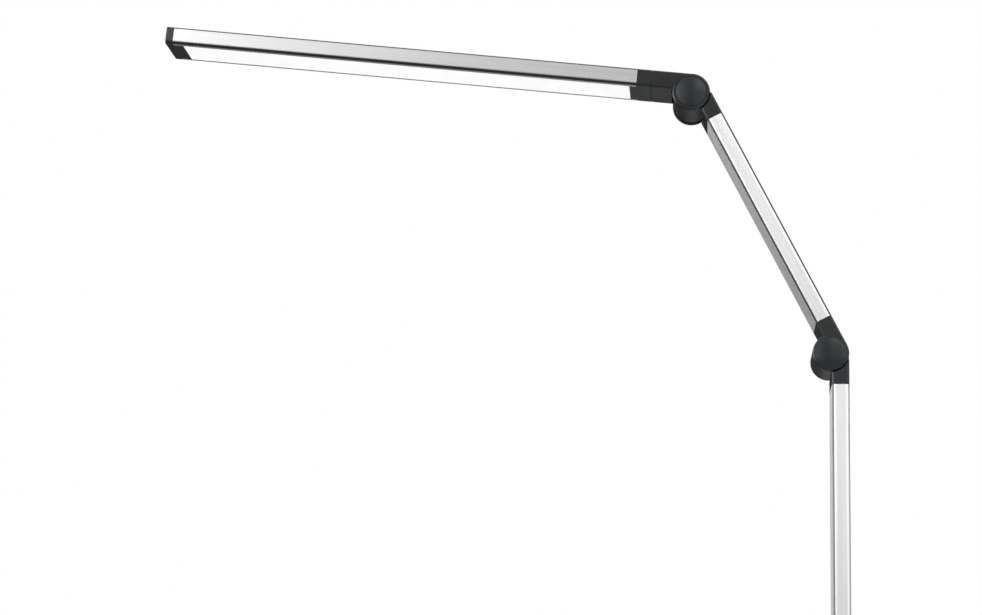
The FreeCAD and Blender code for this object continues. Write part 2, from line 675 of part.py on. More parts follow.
def clamp_bracket():
    """Cast C-shaped bracket with a rib down its back and bosses for the swivel and the spindle."""
    profile = rounded_wire([
        (V(-JAW_REACH, 0, JAW_TOP), LIP_R),
        (V(BACK_X, 0, JAW_TOP), OUTER_CORNER_R),
        (V(BACK_X, 0, LOWER_JAW_LOW), OUTER_CORNER_R),
        (V(-LOWER_JAW_REACH, 0, LOWER_JAW_LOW), LIP_R),
        (V(-LOWER_JAW_REACH, 0, LOWER_JAW_TOP), LIP_R),
        (V(WEB_X, 0, LOWER_JAW_TOP), INNER_CORNER_R),
        (V(WEB_X, 0, PAD_T), LIP_R),
        (V(-JAW_REACH, 0, PAD_T), LIP_R),
    ])
    profile.translate(V(0, -CLAMP_HALF, 0))
    shape = Part.Face(profile).extrude(V(0, CLAMP_DEPTH, 0))
    plan = rounded_wire([
        (V(-JAW_REACH, -CLAMP_HALF, LOWER_JAW_LOW), JAW_FRONT_R),
        (V(BACK_X, -CLAMP_HALF, LOWER_JAW_LOW), INNER_CORNER_R),
        (V(BACK_X, CLAMP_HALF, LOWER_JAW_LOW), INNER_CORNER_R),
        (V(-JAW_REACH, CLAMP_HALF, LOWER_JAW_LOW), JAW_FRONT_R),
    ])
    shape = shape.common(Part.Face(plan).extrude(V(0, 0, JAW_TOP - LOWER_JAW_LOW)))
    shape = shape.fuse(turned([(0, PAD_T), (NUT_BOSS_R, PAD_T), (BOSS_R, JAW_TOP),
                               (BOSS_R, BOSS_TOP - BOSS_EDGE), (BOSS_R - BOSS_EDGE, BOSS_TOP),
                               (0, BOSS_TOP)]))
    shape = shape.fuse(turned([(0, NUT_BOSS_LOW), (NUT_BOSS_R - BOSS_EDGE, NUT_BOSS_LOW),
                               (NUT_BOSS_R, NUT_BOSS_LOW + BOSS_EDGE),
                               (NUT_BOSS_R, NUT_BOSS_TOP - BOSS_EDGE),
                               (NUT_BOSS_R - BOSS_EDGE, NUT_BOSS_TOP), (0, NUT_BOSS_TOP)]))
    shape = shape.fuse(bracket_rib())
    shape = shape.cut(rod_z(SWIVEL_POCKET_R, PAD_T - OVERCUT, SWIVEL_CEILING))
    shape = shape.cut(rod_z(SWIVEL_BOLT_R + RUN_FIT, PAD_T, BOSS_TOP + OVERCUT))
    shape = shape.cut(rod_z(SPINDLE_NUT_R + HOLD_FIT, NUT_BOSS_LOW - OVERCUT, NUT_BOSS_TOP + OVERCUT))
    return shape.removeSplitter()


def bracket_rib():
    top = JAW_TOP - OUTER_CORNER_R
    low = LOWER_JAW_LOW + OUTER_CORNER_R
    root = BACK_X - OVERCUT
    crest = BACK_X + RIB_H
    points = [(root, top), (crest, top - RIB_END), (crest, low + RIB_END), (root, low)]
    corners = [V(x, -RIB_T / 2, z) for x, z in points + points[:1]]
    return Part.Face(Part.makePolygon(corners)).extrude(V(0, RIB_T, 0))


def jaw_pad():
    return rounded_bar(-PAD_HALF_X, PAD_HALF_X, PAD_HALF_Y, 0, PAD_T, PAD_CORNER, PAD_CORNER)


def spindle_nut():
    return ring_z(SPINDLE_R + RUN_FIT, SPINDLE_NUT_R, NUT_BOSS_LOW, NUT_BOSS_TOP)


def clamp_spindle():
    low = KNOB_TOP - KNOB_HOLE
    tip = SPINDLE_TOP - SPINDLE_TIP_EDGE
    return turned([(0, low), (SPINDLE_R, low), (SPINDLE_R, tip),
                   (SPINDLE_R - SPINDLE_TIP_EDGE, SPINDLE_TOP), (0, SPINDLE_TOP)])


def clamp_knob():
    rim = KNOB_R - KNOB_EDGE
    shape = turned([(0, KNOB_LOW), (rim, KNOB_LOW), (KNOB_R, KNOB_LOW + KNOB_EDGE),
                    (KNOB_R, KNOB_TOP - KNOB_EDGE), (rim, KNOB_TOP), (0, KNOB_TOP)])
    for i in range(KNOB_FLUTES):
        turn = 2 * math.pi * i / KNOB_FLUTES
        reach = KNOB_R + KNOB_FLUTE_OUT
        shape = shape.cut(rod_z(KNOB_FLUTE_R, KNOB_LOW - OVERCUT, KNOB_TOP + OVERCUT,
                                reach * math.cos(turn), reach * math.sin(turn)))
    return shape.cut(rod_z(SPINDLE_R + HOLD_FIT, KNOB_TOP - KNOB_HOLE, KNOB_TOP + OVERCUT))


def pressure_plate():
    rim = PRESS_R - PRESS_EDGE
    shape = turned([(0, HUB_LOW), (HUB_R, HUB_LOW), (HUB_R, PRESS_LOW), (rim, PRESS_LOW),
                    (PRESS_R, PRESS_LOW + PRESS_EDGE), (PRESS_R, PRESS_TOP - PRESS_EDGE),
                    (rim, PRESS_TOP), (0, PRESS_TOP)])
    return shape.cut(rod_z(SPINDLE_R + LOOSE_FIT, HUB_LOW - OVERCUT, SPINDLE_TOP))


def pressure_pad():
    return rod_z(PRESS_PAD_R, PRESS_TOP, PRESS_TOP + PRESS_PAD_T)


def swivel_base():
    """Turntable with a short neck up to the barrel of the lowest hinge."""
    shape = turned([(0, TURN_LOW), (TURN_R, TURN_LOW), (TURN_R, TURN_TOP - TURN_EDGE),
                    (TURN_R - TURN_EDGE, TURN_TOP), (0, TURN_TOP)])
    flank = [(NECK_FOOT, TURN_TOP - OVERCUT), (NECK_FOOT, TURN_TOP), (NECK_HALF, TURN_TOP + NECK_RISE),
             (NECK_HALF, BASE_HINGE_Z)]
    outline = flank + [(-x, z) for x, z in reversed(flank)]
    corners = [V(x, -ARM_BARREL_HALF, z) for x, z in outline + outline[:1]]
    shape = shape.fuse(Part.Face(Part.makePolygon(corners)).extrude(V(0, 2 * ARM_BARREL_HALF, 0)))
    shape = shape.fuse(rod_y(HINGE_R, -ARM_BARREL_HALF, ARM_BARREL_HALF, BASE_HINGE_Z)).removeSplitter()
    shape = shape.cut(rod_y(BUSH_R + HOLD_FIT, -ARM_BARREL_HALF, ARM_BARREL_HALF, BASE_HINGE_Z))
    shape = shape.cut(rod_z(SWIVEL_BOLT_R + HOLD_FIT, TURN_LOW - OVERCUT, TURN_LOW + SWIVEL_BOLT_GRIP))
    flat = TURN_R - GLAND_FLAT
    shape = shape.cut(box(-TURN_R, TURN_R, flat, TURN_R + OVERCUT, TURN_LOW - OVERCUT, TURN_TOP + OVERCUT))
    return shape.cut(rod_y(GLAND_R + HOLD_FIT, flat - GLAND_DEPTH, TURN_R, GLAND_Z))


def cord_grommet():
    """Rubber bush in the cord inlet at the back of the turntable."""
    flat = TURN_R - GLAND_FLAT
    start = flat - GLAND_DEPTH
    end = flat + GLAND_FLANGE_T
    shape = rod_y(GLAND_R, start, end, GLAND_Z).fuse(rod_y(GLAND_FLANGE_R, flat, end, GLAND_Z))
    return shape.cut(rod_y(GLAND_BORE_R, start - OVERCUT, end + OVERCUT, GLAND_Z))


def thrust_washer():
    return ring_z(SWIVEL_BOLT_R + LOOSE_FIT, THRUST_R, BOSS_TOP, BOSS_TOP + THRUST_T)


def swivel_washer():
    return ring_z(SWIVEL_BOLT_R + HOLD_FIT, SWIVEL_WASHER_R, SWIVEL_CEILING - RUN_FIT - SWIVEL_WASHER_T,
                  SWIVEL_CEILING - RUN_FIT)


def swivel_bolt():
    under_head = SWIVEL_CEILING - RUN_FIT - SWIVEL_WASHER_T
    head = hex_z(SWIVEL_BOLT_HEAD_AF, under_head - SWIVEL_BOLT_HEAD_T, under_head)
    return head.fuse(rod_z(SWIVEL_BOLT_R, under_head, TURN_LOW + SWIVEL_BOLT_GRIP))


def save_clamp():
    save("clamp_bracket", clamp_bracket())
    save("jaw_pad", jaw_pad())
    save("spindle_nut", spindle_nut())
    save("clamp_spindle", clamp_spindle())
    save("clamp_knob", clamp_knob())
    save("pressure_plate", pressure_plate())
    save("pressure_pad", pressure_pad())
    save("swivel_base", swivel_base())
    save("swivel_bolt", swivel_bolt())
    save("swivel_washer", swivel_washer())
    save("thrust_washer", thrust_washer())
    save("cord_grommet", cord_grommet())


os.makedirs("parts", exist_ok=True)
save_clamp()
save("base_hinge_bush", hinge_bush(ARM_BARREL_HALF), FreeCAD.Placement(BASE_HINGE, FreeCAD.Rotation()))
save_hinge("base_hinge", ARM_HALF, LOWER_ARM)
save_arm("lower_arm", LOWER_ARM, LOWER_THICK, LOWER_LENGTH, LOWER_FORK_LEN, LOWER_KNUCKLE_LEN,
         ARM_BARREL_HALF, HINGE_R)
save("elbow_bush", hinge_bush(ARM_BARREL_HALF), UPPER_ARM)
save_hinge("elbow", ARM_HALF, UPPER_ARM)
save_arm("upper_arm", UPPER_ARM, UPPER_THICK, UPPER_LENGTH, UPPER_FORK_LEN, UPPER_KNUCKLE_LEN,
         HEAD_BARREL_HALF, HEAD_R)
save("head_hinge_bush", hinge_bush(HEAD_BARREL_HALF), HEAD)
save_hinge("head_hinge", HEAD_HALF, HEAD)
save_head()
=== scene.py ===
"""Looks of a clamp-on swing-arm lamp: aluminium arms and LED bar, charcoal friction hinges, screw clamp.

Metres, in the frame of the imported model. A link's own axes are: z along the link from its lower hinge,
y along the hinge axis, and x outwards, away from the table.
"""
import json
import math
import bmesh
import bpy
from mathutils import Matrix, Vector
from mathutils.bvhtree import BVHTree


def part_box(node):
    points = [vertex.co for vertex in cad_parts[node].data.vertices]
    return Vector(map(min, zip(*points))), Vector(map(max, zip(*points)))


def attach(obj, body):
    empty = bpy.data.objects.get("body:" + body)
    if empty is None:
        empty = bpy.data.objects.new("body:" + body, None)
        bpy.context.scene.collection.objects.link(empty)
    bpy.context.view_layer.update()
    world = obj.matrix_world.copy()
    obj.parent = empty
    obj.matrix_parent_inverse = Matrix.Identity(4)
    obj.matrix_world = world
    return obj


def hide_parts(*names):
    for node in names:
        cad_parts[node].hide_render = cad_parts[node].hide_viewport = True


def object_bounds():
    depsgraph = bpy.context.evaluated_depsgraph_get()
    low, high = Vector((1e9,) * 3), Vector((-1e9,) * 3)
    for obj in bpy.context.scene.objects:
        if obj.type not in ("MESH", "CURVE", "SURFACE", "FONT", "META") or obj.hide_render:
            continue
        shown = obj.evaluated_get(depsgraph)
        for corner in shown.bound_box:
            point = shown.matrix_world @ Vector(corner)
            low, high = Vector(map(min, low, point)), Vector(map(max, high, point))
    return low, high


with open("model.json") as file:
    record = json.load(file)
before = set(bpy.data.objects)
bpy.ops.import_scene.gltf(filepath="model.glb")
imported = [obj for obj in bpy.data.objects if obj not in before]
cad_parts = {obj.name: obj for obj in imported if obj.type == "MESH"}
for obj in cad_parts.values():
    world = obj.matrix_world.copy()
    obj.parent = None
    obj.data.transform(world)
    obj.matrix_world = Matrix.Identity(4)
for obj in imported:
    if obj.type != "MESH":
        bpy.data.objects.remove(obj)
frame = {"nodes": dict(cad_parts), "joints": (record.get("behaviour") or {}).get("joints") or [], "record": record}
cad_low, cad_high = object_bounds()
nodes = frame["nodes"]
joints = {j["name"]: j for j in frame["joints"]}
slot_of_node = {s["node"]: s["material_slot"] for s in frame["record"]["subparts"]}
body_of_node = {n: body for body, names in frame["record"]["behaviour"]["bodies"].items() for n in names}

MM = 0.001
HINGE_AXIS = Vector((0, 1, 0))

# Camera, worked out from the edges of the head and the arms
CAMERA_PLACE = Vector((-0.10886, -2.49861, 0.03437))
CAMERA_YAW = -0.0741        # radians to the right
CAMERA_PITCH = 0.1832       # radians upwards
CAMERA_LENS = 104.28        # millimetres, as the sensor's width
SENSOR_WIDTH = 36.0
CAMERA_REACH = 100.0

# Edges
SOFT_EDGE = 0.35 * MM       # rounding of moulded and cast edges
SPLIT_EDGE = 0.2 * MM       # rounding beside the split between the yoke and the bar
ROUNDING_STEPS = 2          # facets across a rounding
ROUNDING_PROFILE = 0.5      # circular
SHARP_ANGLE = math.radians(22)
COPLANAR = math.radians(0.6)              # faces that differ by less are made one
WELD = 0.002 * MM                         # points that are closer are made one
END_FACE = 0.9              # part of a face's normal along the link, above which it is an end face
PAINTED_DARK_REFLECTION = (0.065, 0.065, 0.068, 1)      # painted dark reflection: colour laid on the rounded edges of the aluminium, standing in for dark surroundings mirrored there
EDGE_FULL = 0.4             # sine of twice a rounded facet's angle, from which the painted dark reflection is full
RAIL_FULL = 0.75            # the same on the head's wider roundings
PAINTED_REFLECTION_STRENGTH = (1.0, 1.0)      # strength of a link's painted dark reflections along its edges, on its inner and its outer side
LOWER_ARM_REFLECTION_STRENGTH = (0.9, 0.55)    # the same on the lower arm
BORDER = 1.8 * MM           # width of the sloped borders of the arms' narrow faces
BORDER_DROP = 0.5 * MM      # their fall

# Finishes
NOISE_LOW = 0.3             # range of the noise that spans a finish from one end to the other
NOISE_HIGH = 0.7
NOISE_DETAIL = 3.0
BRUSH_SCALE = (6, 900, 1)   # brush marks to a metre, along and across the brushing
BRUSH_DEPTH = 0.004 * MM
ANISOTROPY = 0.75
ACROSS_BRUSHING = 0.25      # turn of the wider spread of reflections, from along the brushing

# Turned and threaded pieces
ROUND_STEPS = 96
CAP_DOME = 1.3 * MM         # height of the dome of a hinge cap
CAP_RIM = 0.45 * MM         # rounding of its rim
RIM_STEPS = 4
DOME_RINGS = 8
SNAP_RING = 0.6             # inner radius of the ring behind a cap, as a share of the cap's radius
SNAP_RING_WALL = 0.8 * MM
SNAP_RING_DEPTH = 1.2 * MM
THREAD_PITCH = 3.0 * MM
THREAD_DEPTH = 1.2 * MM
THREAD_STEPS = 8            # rings to a turn
THREAD_SIDES = 32
PAD_RIDGE = 2.6 * MM        # spacing of the ridges on the rubber pads
PAD_GROOVE = 0.7 * MM       # their depth
GROOVE_FLOOR = 0.3          # deepest point of a groove and its end, as shares of the spacing
GROOVE_END = 0.6

# Studio
LIT_MIDDLE = Vector((-0.2, 0, 0.6))
CARD_DISTANCE = 3.0
NEAR_CARD = 0.85 * CARD_DISTANCE          # distance of cards that stand in front of others
LOW_CARD_MIDDLE = LIT_MIDDLE + Vector((0, 0.9, 0))
LOW_CARD_RISE = 2 * MM      # height of the low card over the lamp's lowest point
FILL_STRENGTH = 0.8         # the world as a light
WHITE_STRENGTH = 1.0        # the world as it is seen, also in reflections
FLOOR_SIZE = 40
FLOOR_GAP = 0.2 * MM        # between the floor and the lamp's lowest point


# Frames of the links

def link_frame(origin, along):
    z = Vector(along).normalized()
    y = HINGE_AXIS
    x = y.cross(z)
    turn = Matrix((x, y, z)).transposed().to_4x4()
    return Matrix.Translation(origin) @ turn


BASE_HINGE = Vector(joints["base_tilt"]["pos_m"])
ELBOW = Vector(joints["elbow"]["pos_m"])
HEAD_HINGE = Vector(joints["head_tilt"]["pos_m"])
LOWER_ARM = link_frame(BASE_HINGE, ELBOW - BASE_HINGE)
UPPER_ARM = link_frame(ELBOW, HEAD_HINGE - ELBOW)
HEAD = link_frame(HEAD_HINGE, joints["head_swivel"]["axis"])


def span(node, place):
    """Lowest and highest corner of a CAD node, in a link's own axes."""
    into = place.inverted()
    points = [into @ v.co for v in nodes[node].data.vertices]
    low = Vector(min(p[i] for p in points) for i in range(3))
    high = Vector(max(p[i] for p in points) for i in range(3))
    return low, high


# Materials

def new_material(name):
    material = bpy.data.materials.new(name)
    material.use_nodes = True
    tree = material.node_tree
    return material, tree, tree.nodes["Principled BSDF"]


def noise(tree, vector, scale):
    node = tree.nodes.new("ShaderNodeTexNoise")
    node.inputs["Scale"].default_value = scale
    node.inputs["Detail"].default_value = NOISE_DETAIL
    tree.links.new(vector, node.inputs["Vector"])
    return node.outputs["Fac"]


def blend_range(tree, value, low, high):
    node = tree.nodes.new("ShaderNodeMapRange")
    node.inputs["From Min"].default_value = NOISE_LOW
    node.inputs["From Max"].default_value = NOISE_HIGH
    node.inputs["To Min"].default_value = low
    node.inputs["To Max"].default_value = high
    tree.links.new(value, node.inputs["Value"])
    return node.outputs["Result"]


def tones(tree, value, dark, light):
    node = tree.nodes.new("ShaderNodeValToRGB")
    node.color_ramp.elements[0].position = NOISE_LOW
    node.color_ramp.elements[0].color = (*dark, 1)
    node.color_ramp.elements[1].position = NOISE_HIGH
    node.color_ramp.elements[1].color = (*light, 1)
    tree.links.new(value, node.inputs["Fac"])
    return node.outputs["Color"]


def bump(tree, height, distance):
    node = tree.nodes.new("ShaderNodeBump")
    node.inputs["Distance"].default_value = distance
    tree.links.new(height, node.inputs["Height"])
    return node.outputs["Normal"]


def object_space(tree):
    return tree.nodes.new("ShaderNodeTexCoord").outputs["Object"]


def plain(name, dark, light, rough, patch=60.0, grain=2200.0, grain_depth=0.02 * MM,
          metallic=0.0, gloss=0.5):
    """Finish with a faint patchiness in colour and roughness, and a fine grain."""
    material, tree, shader = new_material(name)
    place = object_space(tree)
    patches = noise(tree, place, patch)
    tree.links.new(tones(tree, patches, dark, light), shader.inputs["Base Color"])
    tree.links.new(blend_range(tree, patches, *rough), shader.inputs["Roughness"])
    tree.links.new(bump(tree, noise(tree, place, grain), grain_depth), shader.inputs["Normal"])
    shader.inputs["Metallic"].default_value = metallic
    shader.inputs["Specular IOR Level"].default_value = gloss
    return material


def brushed_aluminium(name):
    """Satin metal with brush lines along u of the pieces' UV map, and painted dark reflections along rounded
    edges.
    """
    material, tree, shader = new_material(name)
    shader.inputs["Metallic"].default_value = 1.0
    shader.inputs["Anisotropic"].default_value = ANISOTROPY
    shader.inputs["Anisotropic Rotation"].default_value = ACROSS_BRUSHING
    uv = tree.nodes.new("ShaderNodeUVMap")
    uv.uv_map = "along"
    stretch = tree.nodes.new("ShaderNodeMapping")
    stretch.inputs["Scale"].default_value = BRUSH_SCALE
    tree.links.new(uv.outputs["UV"], stretch.inputs["Vector"])
    lines = noise(tree, stretch.outputs["Vector"], 1.0)
    # the face attribute "edge" holds how much painted dark reflection each face takes
    edge = tree.nodes.new("ShaderNodeAttribute")
    edge.attribute_name = "edge"
    paint_dark_reflection = tree.nodes.new("ShaderNodeMix")
    paint_dark_reflection.data_type = "RGBA"
    tree.links.new(edge.outputs["Fac"], paint_dark_reflection.inputs["Factor"])
    metal = tones(tree, lines, (0.82, 0.825, 0.83), (0.90, 0.903, 0.907))
    tree.links.new(metal, paint_dark_reflection.inputs["A"])
    paint_dark_reflection.inputs["B"].default_value = PAINTED_DARK_REFLECTION
    tree.links.new(paint_dark_reflection.outputs["Result"], shader.inputs["Base Color"])
    tree.links.new(blend_range(tree, lines, 0.30, 0.38), shader.inputs["Roughness"])
    tree.links.new(bump(tree, lines, BRUSH_DEPTH), shader.inputs["Normal"])
    tangent = tree.nodes.new("ShaderNodeTangent")
    tangent.direction_type = "UV_MAP"
    tangent.uv_map = "along"
    tree.links.new(tangent.outputs["Tangent"], shader.inputs["Tangent"])
    return material


def opal(name):
    """Milky plastic that glows a little."""
    material, tree, shader = new_material(name)
    patches = noise(tree, object_space(tree), 40.0)
    milk = tones(tree, patches, (0.86, 0.86, 0.86), (0.90, 0.90, 0.90))
    tree.links.new(milk, shader.inputs["Base Color"])
    tree.links.new(blend_range(tree, patches, 0.40, 0.50), shader.inputs["Roughness"])
    shader.inputs["Emission Color"].default_value = (1.0, 1.0, 0.995, 1)
    shader.inputs["Emission Strength"].default_value = 0.40
    return material


materials = {
    "aluminium": brushed_aluminium("satin_aluminium"),
    "black_plastic": plain("charcoal_plastic", (0.0085, 0.0104, 0.0119), (0.0108, 0.0130, 0.0147),
                           (0.19, 0.27), gloss=0.55),
    "black_casting": plain("black_powder_coat", (0.010, 0.010, 0.011), (0.015, 0.015, 0.016),
                           (0.48, 0.60), grain=900.0, grain_depth=0.05 * MM),
    "steel": plain("zinc_steel", (0.55, 0.56, 0.58), (0.66, 0.66, 0.67), (0.25, 0.38), metallic=1.0),
    "bronze": plain("bronze", (0.42, 0.28, 0.12), (0.55, 0.38, 0.18), (0.35, 0.45), metallic=1.0),
    "rubber": plain("rubber", (0.012, 0.012, 0.012), (0.018, 0.018, 0.018), (0.70, 0.85), gloss=0.3),
    "fibre": plain("fibre", (0.05, 0.045, 0.04), (0.09, 0.08, 0.07), (0.70, 0.85)),
    "opal_diffuser": opal("opal_acrylic"),
    "circuit_board": plain("circuit_board", (0.78, 0.79, 0.78), (0.86, 0.87, 0.86), (0.35, 0.50)),
    "led": plain("phosphor", (0.75, 0.62, 0.20), (0.90, 0.78, 0.32), (0.50, 0.60)),
}

for name, node in nodes.items():
    node.data.materials.clear()
    node.data.materials.append(materials[slot_of_node[name]])


# Pieces that stand for CAD nodes

def add_piece(name, mesh, node):
    """Hang a mesh on the body of the CAD node that it stands for, with that node's finish."""
    piece = bpy.data.objects.new(name, mesh)
    bpy.context.scene.collection.objects.link(piece)
    mesh.materials.clear()
    mesh.materials.append(materials[slot_of_node[node]])
    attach(piece, body_of_node[node])
    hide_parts(node)
    return piece


def cleaned(node):
    """Mesh of a CAD node with its flat faces made whole."""
    bm = bmesh.new()
    bm.from_mesh(nodes[node].data)
    bmesh.ops.remove_doubles(bm, verts=bm.verts, dist=WELD)
    bmesh.ops.dissolve_limit(bm, angle_limit=COPLANAR, verts=bm.verts, edges=bm.edges)
    return bm


def is_sharp(edge):
    return len(edge.link_faces) == 2 and edge.calc_face_angle() > SHARP_ANGLE


def weigh_normals(piece):
    """Keep broad faces flat where they run into narrow roundings."""
    weigh = piece.modifiers.new("weighted_normals", "WEIGHTED_NORMAL")
    weigh.keep_sharp = True


def keep_inside(bm, skin):
    """Move points that stand out of a skin back onto it."""
    for vert in bm.verts:
        foot, normal, _, _ = skin.find_nearest(vert.co)
        if (vert.co - foot).dot(normal) > WELD:
            vert.co = foot


def softened(node, width=SOFT_EDGE):
    """Moulded or cast piece: the CAD shape with every sharp edge rounded."""
    bm = cleaned(node)
    skin = BVHTree.FromBMesh(bm)
    edges = [e for e in bm.edges if is_sharp(e)]
    bmesh.ops.bevel(bm, geom=edges, offset=width, segments=ROUNDING_STEPS, profile=ROUNDING_PROFILE,
                    affect="EDGES", clamp_overlap=False)
    keep_inside(bm, skin)
    for face in bm.faces:
        face.smooth = True
    mesh = bpy.data.meshes.new(node)
    bm.to_mesh(mesh)
    bm.free()
    weigh_normals(add_piece(f"{node}_moulded", mesh, node))


def mark_painted_reflections(bm, place, full, strength):
    """Note on each face how much painted dark reflection it takes, by how far it belongs to a rounded long edge.
    """
    into = place.inverted().to_3x3()
    # strength of the painted dark reflection, per face
    mark = bm.faces.layers.float.new("edge")
    for face in bm.faces:
        normal = into @ face.normal
        slant = 2 * abs(normal.x * normal.y)
        inner, outer = strength
        side = outer if normal.x > 0 else inner
        face[mark] = side * min(1.0, slant / full) ** 2


def slope_borders(bm, place):
    """Slope the long borders of a tube's two narrow faces, so that they catch light from the sides."""
    into = place.inverted()
    points = [into @ v.co for v in bm.verts]
    depth = max(p.y for p in points)
    flat = [p.x for p in points if p.y > depth - WELD]
    edge_radius = max(p.x for p in points) - max(flat)
    across = place.to_3x3() @ Vector((1, 0, 0))
    for x in (min(flat) + BORDER, max(flat) - BORDER):
        geometry = bm.verts[:] + bm.edges[:] + bm.faces[:]
        bmesh.ops.bisect_plane(bm, geom=geometry, dist=WELD, plane_co=place @ Vector((x, 0, 0)),
                               plane_no=across)
    for vert in bm.verts:
        p = into @ vert.co
        beyond = abs(p.y) - (depth - edge_radius)
        if beyond > 0 and not min(flat) + WELD < p.x < max(flat) - WELD:
            p.y -= math.copysign(BORDER_DROP * beyond / edge_radius, p.y)
            vert.co = place @ p
    bm.normal_update()


def extruded(node, place, bordered=True, full=EDGE_FULL, strength=PAINTED_REFLECTION_STRENGTH):
    """Aluminium piece whose UV map runs along the extrusion, with its rounded edges marked for painted dark
    reflections.
    """
    bm = cleaned(node)
    mark_painted_reflections(bm, place, full, strength)
    if bordered:
        slope_borders(bm, place)
    into = place.inverted()
    along = bm.loops.layers.uv.new("along")
    for face in bm.faces:
        face.smooth = True
        end_face = abs((into.to_3x3() @ face.normal).z) > END_FACE
        for loop in face.loops:
            p = into @ loop.vert.co
            loop[along].uv = (p.x, p.y) if end_face else (p.z, p.x + p.y)
    for edge in bm.edges:
        edge.smooth = not is_sharp(edge)
    mesh = bpy.data.meshes.new(node)
    bm.to_mesh(mesh)
    bm.free()
    weigh_normals(add_piece(f"{node}_extrusion", mesh, node))


def lathe(bm, profile, place):
    """Turn (radius, height) points about the z axis of a place, from the middle of one end to the other."""
    rings = []
    for radius, height in profile:
        if radius == 0:
            rings.append([bm.verts.new(place @ Vector((0, 0, height)))])
            continue
        ring = []
        for i in range(ROUND_STEPS):
            turn = 2 * math.pi * i / ROUND_STEPS
            point = Vector((radius * math.cos(turn), radius * math.sin(turn), height))
            ring.append(bm.verts.new(place @ point))
        rings.append(ring)
    for a, b in zip(rings, rings[1:]):
        for i in range(ROUND_STEPS):
            j = (i + 1) % ROUND_STEPS
            corners = [a[i % len(a)], a[j % len(a)], b[j % len(b)], b[i % len(b)]]
            bm.faces.new(list(dict.fromkeys(corners)))


def mesh_from(bm, name):
    """Mesh of a shape with its faces turned outwards, smooth but for its sharp edges."""
    bmesh.ops.recalc_face_normals(bm, faces=bm.faces)
    for face in bm.faces:
        face.smooth = True
    for edge in bm.edges:
        edge.smooth = not is_sharp(edge)
    mesh = bpy.data.meshes.new(name)
    bm.to_mesh(mesh)
    bm.free()
    return mesh


def arc(middle, radius, start, end, steps):
    """Points of an arc in (radius, height), from one angle to another in degrees."""
    turns = [math.radians(start + (end - start) * i / steps) for i in range(steps + 1)]
    return [(middle[0] + radius * math.cos(t), middle[1] + radius * math.sin(t)) for t in turns]


def hinge_caps(node, place, fork):
    """Two domed discs on the ears of a hinge, each with a rounded rim and a snap ring behind."""
    high = span(node, place)[1]
    ear_face = span(fork, place)[1].y
    radius = high.x
    top = high.y - ear_face
    rim = top - CAP_DOME
    ring = SNAP_RING * radius
    ring_out = ring + SNAP_RING_WALL
    crown = radius - CAP_RIM
    shares = [1 - i / DOME_RINGS for i in range(1, DOME_RINGS)]
    dome = [(crown * share, rim + CAP_DOME * (1 - share ** 2)) for share in shares]
    profile = [(0, 0), (ring, 0), (ring, -SNAP_RING_DEPTH)]
    profile += [(ring_out, -SNAP_RING_DEPTH), (ring_out, 0), (radius, 0)]
    profile += arc((crown, rim - CAP_RIM), CAP_RIM, 0, 90, RIM_STEPS)
    profile += dome + [(0, top)]
    bm = bmesh.new()
    for side in (1, -1):
        out = Matrix.Rotation(-side * math.pi / 2, 4, "X")
        lathe(bm, profile, place @ Matrix.Translation((0, side * ear_face, 0)) @ out)
    weigh_normals(add_piece(f"{node}_domed", mesh_from(bm, node), node))


def threaded_spindle():
    """Clamp screw with a rounded thread that fades out towards both ends."""
    low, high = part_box("clamp_spindle")
    radius = high.x
    turns = (high.z - low.z) / THREAD_PITCH
    count = int(turns * THREAD_STEPS)
    bm = bmesh.new()
    rings = []
    for k in range(count + 1):
        z = low.z + (high.z - low.z) * k / count
        ends = min(1.0, (count - k) / THREAD_STEPS, k / THREAD_STEPS)
        ring = []
        for i in range(THREAD_SIDES):
            turn = 2 * math.pi * i / THREAD_SIDES
            phase = (z - low.z) / THREAD_PITCH - i / THREAD_SIDES
            cut = THREAD_DEPTH * ends * (0.5 + 0.5 * math.cos(2 * math.pi * phase))
            reach = radius - cut - (1 - ends) * THREAD_DEPTH / 2
            ring.append(bm.verts.new((reach * math.cos(turn), reach * math.sin(turn), z)))
        rings.append(ring)
    for a, b in zip(rings, rings[1:]):
        for i in range(THREAD_SIDES):
            j = (i + 1) % THREAD_SIDES
            bm.faces.new((a[i], a[j], b[j], b[i]))
    bm.faces.new(rings[0])
    bm.faces.new(rings[-1])
    add_piece("clamp_spindle_threaded", mesh_from(bm, "clamp_spindle"), "clamp_spindle")


def ringed_pad():
    """Round rubber pad with concentric ridges on top."""
    low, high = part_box("pressure_pad")
    radius = high.x
    thick = high.z - low.z
    profile = [(0, 0), (radius, 0), (radius, thick)]
    edge = radius - PAD_RIDGE / 2
    while edge > PAD_RIDGE:
        profile.append((edge, thick))
        profile.append((edge - GROOVE_FLOOR * PAD_RIDGE, thick - PAD_GROOVE))
        profile.append((edge - GROOVE_END * PAD_RIDGE, thick))
        edge -= PAD_RIDGE
    profile.append((0, thick))
    bm = bmesh.new()
    lathe(bm, profile, Matrix.Translation((0, 0, low.z)))
    add_piece("pressure_pad_ringed", mesh_from(bm, "pressure_pad"), "pressure_pad")


def ridged_pad():
    """Rubber pad under the upper jaw, ridged across the jaw."""
    low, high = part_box("jaw_pad")
    outline = [(low.x, high.z), (low.x, low.z)]
    x = low.x + PAD_RIDGE
    while x < high.x - PAD_RIDGE:
        outline.append((x, low.z))
        outline.append((x + GROOVE_FLOOR * PAD_RIDGE, low.z + PAD_GROOVE))
        outline.append((x + GROOVE_END * PAD_RIDGE, low.z))
        x += PAD_RIDGE
    outline += [(high.x, low.z), (high.x, high.z)]
    bm = bmesh.new()
    front = [bm.verts.new((x, low.y, z)) for x, z in outline]
    back = [bm.verts.new((x, high.y, z)) for x, z in outline]
    for i in range(len(outline)):
        j = (i + 1) % len(outline)
        bm.faces.new((front[i], front[j], back[j], back[i]))
    bm.faces.new(front)
    bm.faces.new(back)
    add_piece("jaw_pad_ridged", mesh_from(bm, "jaw_pad"), "jaw_pad")


